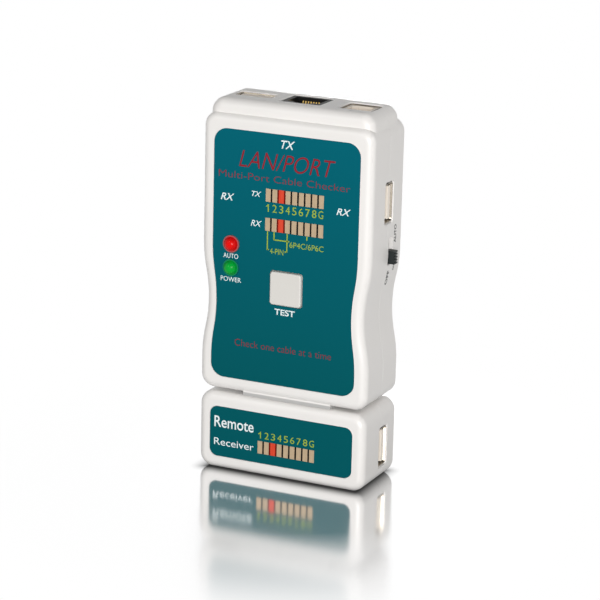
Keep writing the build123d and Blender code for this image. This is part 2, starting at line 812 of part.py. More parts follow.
def rj45_socket(mouth, prefix):
    """Eight-way modular socket: black housing with a stepped mouth, and spring contacts."""
    mouth_width = 11.9
    mouth_low = -3.3
    mouth_high = 5.0
    cavity_depth = 14.0
    step_width = 6.6
    step_low = -4.5
    latch_width = 4.0
    latch_low = -5.6
    with BuildPart() as housing:
        with BuildSketch(mouth):
            Rectangle(rj_width, rj_height)
        extrude(amount=-rj_depth)
        with BuildSketch(mouth):
            with Locations((0, (mouth_low + mouth_high) / 2)):
                Rectangle(mouth_width, mouth_high - mouth_low)
            with Locations((0, (mouth_low + step_low) / 2)):
                Rectangle(step_width, mouth_low - step_low)
            with Locations((0, (step_low + latch_low) / 2)):
                Rectangle(latch_width, step_low - latch_low)
        extrude(amount=-cavity_depth, mode=Mode.SUBTRACT)
    housing.part.label = f"{prefix}_housing"
    export_step(housing.part, f"parts/{prefix}_housing.step")

    wire = 0.45
    contact_pitch = 1.02
    side = Plane(mouth.origin, x_dir=-mouth.z_dir, z_dir=mouth.x_dir)
    with BuildPart() as contacts:
        for place in range(8):
            with BuildSketch(side.offset((place - 3.5) * contact_pitch - wire / 2)):
                with BuildLine():
                    Polyline((1.6, 4.95), (9.5, 2.9), (9.5, 2.5), (1.2, 4.65), (1.2, 4.95), close=True)
                make_face()
            extrude(amount=wire)
    contacts.part.label = f"{prefix}_contacts"
    export_step(contacts.part, f"parts/{prefix}_contacts.step")


rj45_socket(top_rj_mouth, "top_rj45")
rj45_socket(side_rj_mouth, "side_rj45")
rj45_socket(remote_rj_mouth, "remote_rj45")

# USB-B socket in the top
usb_b_opening_width = 8.5
usb_b_opening_height = 7.8
usb_b_cavity = 10.5
usb_b_tongue_width = 5.6
usb_b_tongue_height = 3.1
usb_b_contact = 0.2
insulator_inset = 0.4
with BuildPart() as top_usb_b_shell:
    with BuildSketch(top_usb_b_mouth):
        RectangleRounded(usb_b_width, usb_b_height, 0.8)
        RectangleRounded(
            usb_b_width - 2 * usb_b_sheet,
            usb_b_height - 2 * usb_b_sheet,
            0.5,
            mode=Mode.SUBTRACT,
        )
    extrude(amount=-usb_b_depth)
top_usb_b_shell.part.label = "top_usb_b_shell"
export_step(top_usb_b_shell.part, "parts/top_usb_b_shell.step")

with BuildPart() as top_usb_b_insulator:
    with BuildSketch(top_usb_b_mouth.offset(-insulator_inset)):
        RectangleRounded(usb_b_width - 2 * usb_b_sheet - 0.1, usb_b_height - 2 * usb_b_sheet - 0.1, 0.5)
    extrude(amount=-usb_b_depth + insulator_inset)
    with BuildSketch(top_usb_b_mouth.offset(-insulator_inset)):
        opening = Rectangle(usb_b_opening_width, usb_b_opening_height)
        chamfer(opening.vertices().group_by(Axis.Y)[-1], 1.6)
    extrude(amount=-usb_b_cavity, mode=Mode.SUBTRACT)
    with BuildSketch(top_usb_b_mouth.offset(-usb_b_cavity - 0.5)):
        Rectangle(usb_b_tongue_width, usb_b_tongue_height)
    extrude(amount=usb_b_cavity - 1.1)
top_usb_b_insulator.part.label = "top_usb_b_insulator"
export_step(top_usb_b_insulator.part, "parts/top_usb_b_insulator.step")

with BuildPart() as top_usb_b_contacts:
    with BuildSketch(top_usb_b_mouth.offset(-usb_b_cavity - insulator_inset)):
        with GridLocations(2.5, usb_b_tongue_height + usb_b_contact, 2, 2):
            Rectangle(1.0, usb_b_contact)
    extrude(amount=8.0)
top_usb_b_contacts.part.label = "top_usb_b_contacts"
export_step(top_usb_b_contacts.part, "parts/top_usb_b_contacts.step")


# Circuit boards and what is soldered to them
with BuildPart() as main_board:
    with BuildSketch(facing(board_front)):
        with Locations((0, (board_low + board_high) / 2)):
            RectangleRounded(2 * board_half, board_high - board_low, 1.5)
        with Locations(*case_screw_spots):
            Circle(boss_radius + 0.4, mode=Mode.SUBTRACT)
        with Locations(*board_screw_spots):
            Circle(board_screw_radius + 0.15, mode=Mode.SUBTRACT)
    extrude(amount=-board_thickness)
main_board.part.label = "main_board"
export_step(main_board.part, "parts/main_board.step")

with BuildPart() as board_screws:
    board_head_back = board_back + board_screw_head_height
    add(bars(board_screw_spots, board_screw_head_radius, board_head_back, board_back))
    add(bars(board_screw_spots, board_screw_radius, board_back, board_front - board_screw_length))
    with BuildSketch(facing(board_head_back)):
        with Locations(*board_screw_spots):
            Rectangle(2.2, 0.5)
            Rectangle(0.5, 2.2)
    extrude(amount=0.7, mode=Mode.SUBTRACT)
board_screws.part.label = "board_screws"
export_step(board_screws.part, "parts/board_screws.step")


def flat_chip(middle, size, pins_per_side, name):
    """Surface-mounted chip on the back of the main board, pins along its upper and lower sides."""
    body_height = 1.8
    with BuildPart() as chip:
        with BuildSketch(facing(board_back + 0.2)):
            with Locations(middle):
                Rectangle(*size)
        extrude(amount=-body_height)
        with BuildSketch(facing(board_back)):
            with Locations(middle):
                with GridLocations(1.27, size[1] + 1.4, pins_per_side, 2):
                    Rectangle(0.45, 1.6)
        extrude(amount=-0.5)
    chip.part.label = name
    export_step(chip.part, f"parts/{name}.step")


flat_chip((-8.0, 82.0), (12.6, 7.5), 9, "controller_chip")
flat_chip((8.5, 83.0), (10.0, 4.0), 7, "counter_chip")

with BuildPart() as capacitor:
    with BuildSketch(facing(board_back)):
        with Locations((12.0, 72.0)):
            Circle(2.5)
    extrude(amount=-7.0)
    fillet(capacitor.faces().sort_by(Axis.Y)[-1].edges(), 0.4)
capacitor.part.label = "capacitor"
export_step(capacitor.part, "parts/capacitor.step")


def resistors(middle, columns, name):
    """Row of surface-mounted resistors on the back of a board."""
    with BuildPart() as group:
        with BuildSketch(facing(board_back)):
            with Locations(middle):
                with GridLocations(2.54, 3.2, columns, 1):
                    Rectangle(1.25, 2.0)
        extrude(amount=-0.6)
    group.part.label = name
    export_step(group.part, f"parts/{name}.step")


resistors((-12.0, 72.0), 8, "main_resistors")
resistors((2.27, 7.0), 8, "remote_resistors")

with BuildPart() as remote_board:
    with BuildSketch(facing(board_front)):
        with Locations((0, (remote_board_low + remote_board_high) / 2)):
            RectangleRounded(2 * board_half, remote_board_high - remote_board_low, 1.5)
        with Locations(*remote_screw_spots):
            Circle(boss_radius + 0.4, mode=Mode.SUBTRACT)
    extrude(amount=-board_thickness)
remote_board.part.label = "remote_board"
export_step(remote_board.part, "parts/remote_board.step")


# Battery, its snap and leads
with BuildPart() as battery:
    with BuildSketch(Plane.YZ.offset(battery_left)):
        with Locations((battery_middle_y, battery_middle_z)):
            RectangleRounded(battery_thickness, battery_height, 2.0)
    extrude(amount=battery_body)
battery.part.label = "battery"
export_step(battery.part, "parts/battery.step")

with BuildPart() as battery_terminals:
    with BuildSketch(Plane.YZ.offset(battery_right)):
        with Locations((battery_middle_y, battery_middle_z + terminal_spacing / 2)):
            Circle(round_terminal_radius)
        with Locations((battery_middle_y, battery_middle_z - terminal_spacing / 2)):
            RegularPolygon(hex_terminal_radius, 6)
    extrude(amount=terminal_height)
battery_terminals.part.label = "battery_terminals"
export_step(battery_terminals.part, "parts/battery_terminals.step")

snap_height = 4.2
snap_width = 13.0
with BuildPart() as battery_snap:
    with BuildSketch(Plane.YZ.offset(battery_right + 0.2)):
        with Locations((battery_middle_y, battery_middle_z)):
            RectangleRounded(snap_width, battery_height - 1, 3.0)
    extrude(amount=snap_height)
    with BuildSketch(Plane.YZ.offset(battery_right + 0.2)):
        with Locations((battery_middle_y, battery_middle_z + terminal_spacing / 2)):
            Circle(round_terminal_radius + 0.1)
        with Locations((battery_middle_y, battery_middle_z - terminal_spacing / 2)):
            RegularPolygon(hex_terminal_radius + 0.1, 6)
    extrude(amount=terminal_height, mode=Mode.SUBTRACT)
battery_snap.part.label = "battery_snap"
export_step(battery_snap.part, "parts/battery_snap.step")


def battery_lead(y, top, bend, name):
    """Lead that leaves the snap upwards, then turns to the back of the main board."""
    x = battery_right + 0.2 + snap_height / 2
    start = battery_middle_z + battery_height / 2 - 0.5
    with BuildPart() as lead:
        with BuildLine() as path:
            FilletPolyline((x, y, start), (x, y, top), (x, board_back, top), radius=bend)
        with BuildSketch(Plane.XY.offset(start).shift_origin((x, y, start))):
            Circle(lead_radius)
        sweep(path=path.line)
    lead.part.label = name
    export_step(lead.part, f"parts/{name}.step")


battery_lead(4.6, 75.5, 4.5, "battery_lead_red")
battery_lead(2.2, 71.0, 3.5, "battery_lead_black")


# Battery door with two hooking tabs, a latch tongue and a foam pad
tab_reach = 1.3
tab_width = 6.0
tab_spacing = 32.0
groove_length = 14.0
groove_width = 0.8
groove_depth = 0.5
groove_pitch = 1.7
with BuildPart() as battery_door:
    with BuildSketch(facing(back)):
        with Locations((door_middle_x, door_middle_z)):
            RectangleRounded(door_width, door_height, door_corner)
    extrude(amount=wall)
    with BuildSketch(facing(back - 0.5)):
        with Locations((door_middle_x, door_high + 0.5)):
            Rectangle(latch_width, latch_height)
    extrude(amount=wall - 0.9)
    # grip grooves under the latch
    with BuildSketch(facing(back)):
        with Locations((door_middle_x, door_high - 4.5)):
            with GridLocations(0, groove_pitch, 1, 4):
                SlotOverall(groove_length, groove_width)
    extrude(amount=groove_depth, mode=Mode.SUBTRACT)
    # tabs that hook behind the casing's lower edge
    with BuildSketch(facing(back - wall - 0.3)):
        with Locations((door_middle_x, door_low + 0.3)):
            with GridLocations(tab_spacing, 0, 2, 1):
                Rectangle(tab_width, 3.4)
    extrude(amount=tab_reach)
    with BuildSketch(facing(back - wall)):
        with Locations((door_middle_x, door_low + 1.35)):
            with GridLocations(tab_spacing, 0, 2, 1):
                Rectangle(tab_width, 1.3)
    extrude(amount=0.3 + tab_reach / 2)
battery_door.part.label = "battery_door"
export_step(battery_door.part, "parts/battery_door.step")

foam_width = 24.0
foam_height = 14.0
with BuildPart() as battery_door_pad:
    with BuildSketch(facing(back - wall)):
        with Locations((door_middle_x, battery_middle_z)):
            RectangleRounded(foam_width, foam_height, 1.0)
    extrude(amount=back - wall - battery_back - 0.3)
battery_door_pad.part.label = "battery_door_pad"
export_step(battery_door_pad.part, "parts/battery_door_pad.step")
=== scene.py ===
import bpy
import json
import math
import numpy as np
from mathutils import Matrix, Vector


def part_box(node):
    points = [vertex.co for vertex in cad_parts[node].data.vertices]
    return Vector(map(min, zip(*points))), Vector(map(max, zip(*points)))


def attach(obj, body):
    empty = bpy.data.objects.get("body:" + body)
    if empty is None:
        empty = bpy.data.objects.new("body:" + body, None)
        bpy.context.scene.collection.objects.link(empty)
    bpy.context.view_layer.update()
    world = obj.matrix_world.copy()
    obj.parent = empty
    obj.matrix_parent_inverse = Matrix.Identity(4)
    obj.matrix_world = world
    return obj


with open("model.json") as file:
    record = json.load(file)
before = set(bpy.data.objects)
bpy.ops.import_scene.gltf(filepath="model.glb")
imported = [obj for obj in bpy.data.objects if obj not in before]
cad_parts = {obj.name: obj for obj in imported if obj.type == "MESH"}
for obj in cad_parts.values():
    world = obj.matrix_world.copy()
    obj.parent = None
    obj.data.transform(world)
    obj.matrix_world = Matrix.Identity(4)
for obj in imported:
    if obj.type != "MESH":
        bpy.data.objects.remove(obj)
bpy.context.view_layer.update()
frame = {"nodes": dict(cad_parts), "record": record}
nodes = frame["nodes"]
mm = 0.001
print("frame loaded:", len(nodes), "nodes")


class Signal:  # one output of a shader node; arithmetic on it adds Math nodes
    def __init__(self, finish, socket):
        self.finish = finish
        self.socket = socket

    def maths(self, operation, *values):
        inputs = dict(enumerate(values))
        return self.finish.add("ShaderNodeMath", {"operation": operation}, inputs)

    def __add__(self, other):
        return self.maths("ADD", self, other)

    def __radd__(self, other):
        return self.maths("ADD", other, self)

    def __sub__(self, other):
        return self.maths("SUBTRACT", self, other)

    def __rsub__(self, other):
        return self.maths("SUBTRACT", other, self)

    def __mul__(self, other):
        return self.maths("MULTIPLY", self, other)

    def __rmul__(self, other):
        return self.maths("MULTIPLY", other, self)

    def __truediv__(self, other):
        return self.maths("DIVIDE", self, other)

    def __pow__(self, other):
        return self.maths("POWER", self, other)

    def __gt__(self, other):
        return self.maths("GREATER_THAN", self, other)

    def __lt__(self, other):
        return self.maths("LESS_THAN", self, other)

    def sine(self):
        return self.maths("SINE", self)

    def size(self):
        return self.maths("ABSOLUTE", self)

    def clamped(self):
        return self.maths("MINIMUM", self.maths("MAXIMUM", self, 0.0), 1.0)


class Finish:  # one material under construction
    def __init__(self, name, tree=None):
        if tree is None:
            self.material = bpy.data.materials.new(name)
            self.material.use_nodes = True
            tree = self.material.node_tree
        self.tree = tree
        tree.nodes.clear()

    # adds a node: its settings are set first, then each input gets a value or a link
    def add(self, kind, settings=None, inputs=None, output=0):
        node = self.tree.nodes.new(kind)
        for key, value in (settings or {}).items():
            setattr(node, key, value)
        for key, value in (inputs or {}).items():
            if isinstance(value, Signal):
                self.tree.links.new(value.socket, node.inputs[key])
            elif node.inputs[key].type == "RGBA":
                node.inputs[key].default_value = (*value, 1.0)
            else:
                node.inputs[key].default_value = value
        return Signal(self, node.outputs[output]) if len(node.outputs) else node

    def place(self):
        return self.add("ShaderNodeTexCoord", output="Object")

    def axes(self):
        return [self.add("ShaderNodeSeparateXYZ", None, {0: self.place()}, output=axis) for axis in "XYZ"]

    # cloudy pattern from 0 to 1 whose patches are about grain millimetres across
    def cloud(self, grain, stretch=(1, 1, 1), detail=3.0):
        along = self.add("ShaderNodeMapping", None, {0: self.place(), "Scale": stretch})
        inputs = {"Vector": along, "Scale": 1 / (grain * mm), "Detail": detail}
        return self.add("ShaderNodeTexNoise", None, inputs)

    def mix(self, amount, first, second):
        return self.add("ShaderNodeMix", {"data_type": "RGBA"}, {0: amount, 6: first, 7: second}, output=2)

    def bump(self, height, depth, strength=1.0):
        inputs = {"Height": height, "Distance": depth * mm, "Strength": strength}
        return self.add("ShaderNodeBump", None, inputs)

    def shade(self, **values):
        inputs = {key.replace("_", " "): value for key, value in values.items()}
        shader = self.add("ShaderNodeBsdfPrincipled", None, inputs)
        return self.finishWith(shader)

    def finishWith(self, shader):
        self.add("ShaderNodeOutputMaterial", None, {"Surface": shader})
        return self.material


def linear(red, green, blue):  # screen colour, 0 to 255, as scene linear
    def curve(value):
        value = value / 255
        return value / 12.92 if value <= 0.04045 else ((value + 0.055) / 1.055) ** 2.4

    return (curve(red), curve(green), curve(blue))


# painted shade for the joint between the two units, standing in for the main unit's shadow on the remote
paintedJointShadeLook = {  # millimetres above the top of the remote
    "above": "remote_front_shell", "clear": 0.1, "height": 1.55, "fade": 0.3, "shade": linear(182, 181, 179),
}
casingLook = {
    "colour": linear(240, 237, 234), "shade": linear(233, 230, 226), "roughness": 0.34, "grain": 0.16,
    "paintedJointShade": paintedJointShadeLook,
}


def mouldedPlastic(name, look):
    # fine spark-eroded texture, with slow cloudy changes of tone and gloss
    f = Finish(name)
    tone = f.cloud(22, detail=2.0)
    grain = f.cloud(look["grain"], detail=2.0)
    colour = f.mix(tone, look["colour"], look["shade"])
    if "paintedJointShade" in look:
        # painted shade in the narrow joint, where the main unit shades the top of the remote, fading out over
        # its upper and lower edges
        x, y, z = f.axes()
        paintedJointShade = look["paintedJointShade"]
        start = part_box(paintedJointShade["above"])[1].z + paintedJointShade["clear"] * mm
        end = start + paintedJointShade["height"] * mm
        lower = ((z - start) / (paintedJointShade["clear"] * mm)).clamped()
        upper = ((end - z) / (paintedJointShade["fade"] * mm)).clamped()
        colour = f.mix(lower * upper, colour, paintedJointShade["shade"])
    rough = look["roughness"] + 0.05 * (tone - 0.5) + 0.08 * (grain - 0.5)
    return f.shade(
        Base_Color=colour, Roughness=rough, Normal=f.bump(grain, look.get("depth", 0.006), 0.5),
        Specular_IOR_Level=look.get("gloss", 0.5),
    )


labelLook = {"top": linear(0, 97, 112), "foot": linear(0, 86, 93), "low": 0.0349, "high": 0.1251}


def labelFilm(name, look):
    # printed polyester film: even colour that deepens towards the foot, with a very fine matt grain
    f = Finish(name)
    x, y, z = f.axes()
    rise = ((z - look["low"]) / (look["high"] - look["low"])).clamped()
    grain = f.cloud(0.09, detail=2.0)
    fleck = f.cloud(0.6, detail=3.0)
    colour = f.mix(rise, look["foot"], look["top"])
    colour = f.mix(0.10 * fleck, colour, linear(0, 70, 84))
    rough = 0.42 + 0.10 * (grain - 0.5) + 0.04 * (fleck - 0.5)
    return f.shade(
        Base_Color=colour, Roughness=rough, Normal=f.bump(grain, 0.003, 0.6), Specular_IOR_Level=0.06
    )


def printInk(name, colour, under):
    # screen ink, slightly uneven where the film shows through it
    f = Finish(name)
    cover = f.cloud(0.25, detail=4.0)
    thin = (0.9 * (cover - 0.45)).clamped()
    return f.shade(
        Base_Color=f.mix(thin, colour, under), Roughness=0.38 + 0.2 * (cover - 0.5),
        Normal=f.bump(cover, 0.002, 0.4), Specular_IOR_Level=0.1,
    )


def flatLampLens(name, colour, edge, glow):
    # diffused lens with faint upright streaks, paler in cloudy streaky patches
    f = Finish(name)
    streak = f.cloud(0.32, stretch=(1, 1, 0.07), detail=2.0)
    cloud = f.cloud(1.4, detail=2.0)
    colour = f.mix((0.75 * streak + 0.35 * cloud - 0.1).clamped(), colour, edge)
    values = dict(
        Base_Color=colour, Roughness=0.36 + 0.12 * streak, Normal=f.bump(streak, 0.012, 0.5),
        Specular_IOR_Level=0.2,
    )
    if glow:
        values.update(Emission_Color=colour, Emission_Strength=glow)
    return f.shade(**values)


def domeLens(name, node, deep, bright, rimSheen, look):
    # clear tinted epoxy: the lamp's light gathers in the middle and the rim stays deep, with a painted pale
    # sheen ring just past the rim
    f = Finish(name)
    low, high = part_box(node)
    centre = (low + high) / 2
    x, y, z = f.axes()
    across = look["dome"] * mm
    radius = ((x - centre.x) * (x - centre.x) + (z - centre.z) * (z - centre.z)) ** 0.5 / across
    swirl = f.cloud(1.3, detail=3.0)
    core = (1.5 - 1.2 * radius + 0.9 * (swirl - 0.5)).clamped()
    colour = f.mix(core, deep, bright)
    colour = f.mix((14.0 * (radius - 1.0)).clamped() * look["sheenShare"], colour, rimSheen)
    return f.shade(
        Base_Color=colour, Roughness=0.16 + 0.10 * swirl, Specular_IOR_Level=0.12,
        Emission_Color=colour, Emission_Strength=look["glow"], Normal=f.bump(swirl, 0.03, 0.4),
    )


# sheenShare sets how strongly the painted sheen ring shows at each dome's rim
domeLook = {"dome": 2.6, "sheenShare": 0.9, "glow": 0.08}


def plated(name, colour, dull, roughness, drawn):
    # plated sheet: fine draw lines along the part, with a few dull patches
    f = Finish(name)
    lines = f.cloud(0.12, stretch=drawn, detail=3.0)
    patch = f.cloud(3.0, detail=4.0)
    return f.shade(
        Base_Color=f.mix((patch - 0.35).clamped(), colour, dull), Metallic=1.0,
        Roughness=roughness + 0.12 * lines + 0.10 * (patch - 0.5), Normal=f.bump(lines, 0.004, 0.5),
    )


def circuitBoard(name):
    # green solder mask over copper tracks on a coarse grid
    f = Finish(name)
    x, y, z = f.axes()
    pitch = 1.27 * mm
    sway = 0.4 * mm
    bend = sway * (f.cloud(6.0, detail=0.0) - 0.5)
    across = ((x + bend) * (2 * math.pi / pitch)).sine()
    along = ((z + bend) * (2 * math.pi / (2 * pitch))).sine()
    region = f.cloud(9.0, detail=0.0) > 0.5
    track = region * (across > 0.55) + (1 - region) * (along > 0.7)
    fleck = f.cloud(0.3)
    colour = f.mix(track, linear(18, 84, 48), linear(38, 116, 66))
    return f.shade(Base_Color=colour, Roughness=0.3 + 0.15 * fleck, Normal=f.bump(track, 0.03, 0.6))


def litComb(name, look):
    # matt black comb with a painted red glow from the lit lamp next to it
    f = Finish(name)
    x, y, z = f.axes()
    low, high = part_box("tx_lamp_3")
    remoteLow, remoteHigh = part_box("remote_lamp_3")
    onRemote = z < remoteHigh.z + 2 * mm
    middle = (low.x + high.x) / 2 + (remoteLow.x - low.x) * onRemote
    paintedLampGlow = (look["paintedLampGlow"] - (x - middle).size() / (look["reach"] * mm) + 0.5).clamped() * look["paintedLampGlow"]
    grain = f.cloud(0.2)
    colour = f.mix(grain, linear(18, 13, 10), linear(10, 8, 6))
    return f.shade(
        Base_Color=f.mix(paintedLampGlow, colour, linear(170, 34, 16)), Roughness=0.6 + 0.1 * grain,
        Specular_IOR_Level=0.1, Normal=f.bump(grain, 0.01, 0.5),
    )


def batteryJacket(name, look):
    # printed film jacket in two colours, with fine rolling lines and small scuffs
    f = Finish(name)
    x, y, z = f.axes()
    low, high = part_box("battery")
    edge = low.x + look["band"] * (high.x - low.x)
    lines = f.cloud(0.15, stretch=(0.05, 1, 1))
    scuff = f.cloud(4.0, detail=5.0)
    colour = f.mix(x > edge, look["body"], look["end"])  # the end band is the brighter colour
    colour = f.mix(0.12 * scuff, colour, linear(150, 150, 150))
    return f.shade(
        Base_Color=colour, Roughness=0.24 + 0.16 * scuff, Metallic=0.35 * (x > edge),
        Normal=f.bump(lines, 0.004, 0.5),
    )


def foamSponge(name):
    # open cells: pale in the middle of each wall, with painted shade in its pits
    f = Finish(name)
    cellWidth = 0.7 * mm
    inputs = {"Vector": f.place(), "Scale": 1 / cellWidth}
    cells = f.add("ShaderNodeTexVoronoi", None, inputs, output="Distance")
    colour = f.mix(cells, linear(60, 60, 62), linear(108, 108, 110))
    return f.shade(Base_Color=colour, Roughness=0.85 + 0.1 * cells, Normal=f.bump(cells, 0.2, 0.8))


def plainMoulding(colour, shade, roughness, grain=0.2, depth=0.006, gloss=0.5):
    return {
        "colour": colour, "shade": shade, "roughness": roughness,
        "grain": grain, "depth": depth, "gloss": gloss,
    }


black = linear(34, 36, 37)
tin = linear(146, 138, 126)
batteryLook = {"band": 0.62, "body": linear(34, 38, 48), "end": linear(176, 112, 48)}
looks = {
    "casing": mouldedPlastic("warmWhitePlastic", casingLook),
    "label": labelFilm("tealFilm", labelLook),
    "button": mouldedPlastic(
        "greyKeyPlastic", plainMoulding(linear(221, 218, 212), linear(213, 210, 204), 0.42, 0.14, 0.010)
    ),
    "knob": mouldedPlastic(
        "blackKnobPlastic", plainMoulding(linear(42, 48, 48), black, 0.45, 0.12, 0.012, 0.2)
    ),
    "socket_shell": plated("tinPlate", tin, linear(112, 105, 95), 0.20, (1, 1, 0.05)),
    "socket_plastic": mouldedPlastic(
        "creamInsulator", plainMoulding(linear(255, 246, 234), linear(248, 236, 220), 0.30, 0.3)
    ),
    "socket_black": mouldedPlastic(
        "blackHousing", plainMoulding(linear(26, 25, 24), linear(18, 18, 18), 0.5, 0.15, 0.012, 0.25)
    ),
    "contact": plated("goldContact", linear(236, 204, 128), linear(206, 166, 92), 0.16, (1, 1, 0.1)),
    "lamp_off": flatLampLens("tanLens", linear(178, 152, 122), linear(202, 182, 152), 0.0),
    "lamp_lit": flatLampLens("litLens", linear(196, 40, 20), linear(226, 90, 62), 0.06),  # faint glow
    # the last colour of each dome is its painted rim sheen
    "lamp_red": domeLens(
        "redDome", "auto_lamp", linear(166, 4, 6), linear(220, 12, 8), linear(150, 92, 94), domeLook
    ),
    "lamp_green": domeLens(
        "greenDome", "power_lamp", linear(0, 122, 44), linear(0, 160, 52), linear(12, 112, 92), domeLook
    ),
    # the comb gets a painted red glow beside the lit lamp
    "spacer": litComb("blackComb", {"reach": 1.9, "paintedLampGlow": 0.7}),
    "board": circuitBoard("greenBoard"),
    "chip": mouldedPlastic(
        "chipEpoxy", plainMoulding(linear(40, 40, 42), linear(28, 28, 30), 0.55, 0.1, 0.01)
    ),
    "resistor": mouldedPlastic(
        "resistorGlaze", plainMoulding(linear(30, 30, 34), linear(44, 44, 50), 0.3, 0.3)
    ),
    "capacitor": mouldedPlastic(
        "capacitorSleeve", plainMoulding(linear(24, 30, 84), linear(18, 22, 64), 0.25, 0.6)
    ),
    "screw": plated("zincScrew", linear(180, 180, 182), linear(132, 132, 130), 0.30, (1, 0.1, 1)),
    "battery_jacket": batteryJacket("batteryJacket", batteryLook),
    "battery_metal": plated(
        "nickelTerminal", linear(200, 198, 192), linear(160, 156, 150), 0.22, (0.1, 1, 1)
    ),
    "snap": mouldedPlastic(
        "vinylSnap", plainMoulding(linear(30, 30, 30), linear(22, 22, 22), 0.5, 0.4, 0.02)
    ),
    "lead_red": mouldedPlastic("redVinyl", plainMoulding(linear(190, 24, 20), linear(160, 18, 16), 0.4, 0.4)),
    "lead_black": mouldedPlastic(
        "blackVinyl", plainMoulding(linear(28, 28, 28), linear(20, 20, 20), 0.4, 0.4)
    ),
    "foam": foamSponge("greyFoam"),
    "switch_base": mouldedPlastic(
        "brownLaminate", plainMoulding(linear(134, 92, 52), linear(112, 74, 40), 0.5, 0.3)
    ),
}

for subpart in frame["record"]["subparts"]:
    mesh = nodes[subpart["node"]].data
    mesh.materials.clear()
    mesh.materials.append(looks[subpart["material_slot"]])
print("finishes given to the frame:", len(looks))


# Printing. Each mark is (words, left, right, low, high) in millimetres on the label,
# then its slant and weight
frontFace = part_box("main_label")[0].y
inkHeight = 0.03 * mm
inkDepth = 0.8 * inkHeight
white = linear(238, 246, 246)
lime = linear(160, 182, 58)
red = linear(146, 26, 38)
teal = linear(0, 96, 106)
rowLow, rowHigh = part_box("tx_lamp_row")
lampHalf = 1.0  # from a lamp's outer edge to the middle of its place
lampPitch = (rowHigh.x - rowLow.x - 2 * lampHalf * mm) / 8 / mm
firstLamp = rowLow.x / mm + lampHalf
remoteShift = (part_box("remote_lamp_row")[0].x - rowLow.x) / mm

mainMarks = {
    "white": [
        ("TX", -2.2, 3.1, 120.3, 123.2, 0.3, 0.012),
        ("TX", -13.1, -9.4, 102.2, 104.1, 0.3, 0.012),
        ("RX", -13.2, -9.0, 91.6, 93.7, 0.3, 0.012),
        ("RX", -25.1, -19.8, 99.6, 102.1, 0.3, 0.012),
        ("RX", 19.4, 24.8, 99.5, 101.9, 0.3, 0.012),
        ("AUTO", -23.7, -17.9, 78.8, 80.5, 0.0, 0.0),
        ("POWER", -24.6, -16.6, 70.3, 72.0, 0.0, 0.0),
        ("TEST", -3.3, 4.5, 60.7, 62.9, 0.0, 0.02),
    ],
    "red": [
        ("LAN/PORT", -18.2, 18.6, 112.2, 118.2, 0.3, -0.008),
        ("Multi-Port Cable Checker", -26.0, 24.3, 107.9, 110.3, 0.0, -0.016),
        ("Check one cable at a time", -18.6, 18.9, 47.2, 49.7, 0.0, -0.014),
    ],
    "lime": [
        ("4-PIN", -5.6, -0.4, 82.5, 84.5, 0.0, 0.0),
        ("6P4C/6P6C", 1.9, 14.9, 85.6, 87.6, 0.0, 0.0),
    ],
}
remoteMarks = {
    "white": [
        ("Remote", -26.2, -10.5, 15.7, 19.9, 0.0, 0.01),
        ("Receiver", -26.2, -10.3, 8.9, 11.6, 0.0, 0.0),
    ],
    "lime": [],
}
mainFigures = (97.3, 100.1)  # foot and head of the figures
remoteFigures = (14.1, 16.6)
for place, digit in enumerate("2345678G", 1):
    middle = firstLamp + place * lampPitch
    half = 0.92 if digit == "G" else 0.82
    mainMarks["lime"].append((digit, middle - half, middle + half, *mainFigures, 0.0, 0.0))
    middle += remoteShift
    remoteMarks["lime"].append((digit, middle - half, middle + half, *remoteFigures, 0.0, 0.0))

# Lines under the RX row, as (left, right, low, high)
lineWidth = 0.42
lowLine = 83.6
highLine = 87.4
shortFoot = 88.9
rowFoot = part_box("rx_lamp_row")[0].z / mm
lampLines = []
for place, foot in ((0, lowLine), (1, highLine), (3, lowLine), (6, shortFoot)):
    middle = firstLamp + place * lampPitch
    lampLines.append((middle - lineWidth / 2, middle + lineWidth / 2, foot, rowFoot - 0.1))
second = firstLamp + lampPitch
fourth = firstLamp + 3 * lampPitch
lampLines.append((firstLamp, -6.0, lowLine, lowLine + lineWidth))
lampLines.append((0.1, fourth, lowLine, lowLine + lineWidth))
lampLines.append((second, fourth + 0.9, highLine, highLine + lineWidth))


# letters as flat triangles in sketch coordinates, stretched to fill their box
def letterMesh(words, left, right, low, high, slant, weight):
    curve = bpy.data.curves.new("letters", "FONT")
    curve.body = words
    curve.shear = slant
    curve.offset = weight
    curve.resolution_u = 5
    holder = bpy.data.objects.new("letters", curve)
    bpy.context.scene.collection.objects.link(holder)
    bpy.context.view_layer.update()
    mesh = bpy.data.meshes.new_from_object(holder.evaluated_get(bpy.context.evaluated_depsgraph_get()))
    points = np.empty(len(mesh.vertices) * 3)
    mesh.vertices.foreach_get("co", points)
    points = points.reshape(-1, 3)[:, :2]
    mesh.calc_loop_triangles()
    triangles = np.empty(len(mesh.loop_triangles) * 3, int)
    mesh.loop_triangles.foreach_get("vertices", triangles)
    bpy.data.objects.remove(holder)
    bpy.data.curves.remove(curve)
    bpy.data.meshes.remove(mesh)
    least = points.min(0)
    span = points.max(0) - least
    points = (points - least) / span * [right - left, high - low] + [left, low]
    return points, triangles.reshape(-1, 3)


def lineMesh(left, right, low, high):
    points = np.array([[left, low], [right, low], [right, high], [left, high]])
    return points, np.array([[0, 1, 2], [0, 2, 3]])


# the figure one as a stem with a short flag to its left
def oneMesh(middle, low, high):
    stem = 0.38
    flag = 0.7
    shoulder = 0.3
    armpit = 0.85
    points = np.array(
        [
            [middle, low], [middle + stem, low], [middle + stem, high], [middle + stem * 0.3, high],
            [middle, high - shoulder], [middle - flag, high - flag], [middle - flag, high - flag - stem],
            [middle, high - armpit],
        ]
    )
    return points, np.array([[0, 1, 2], [0, 2, 4], [4, 2, 3], [7, 4, 5], [7, 5, 6]])


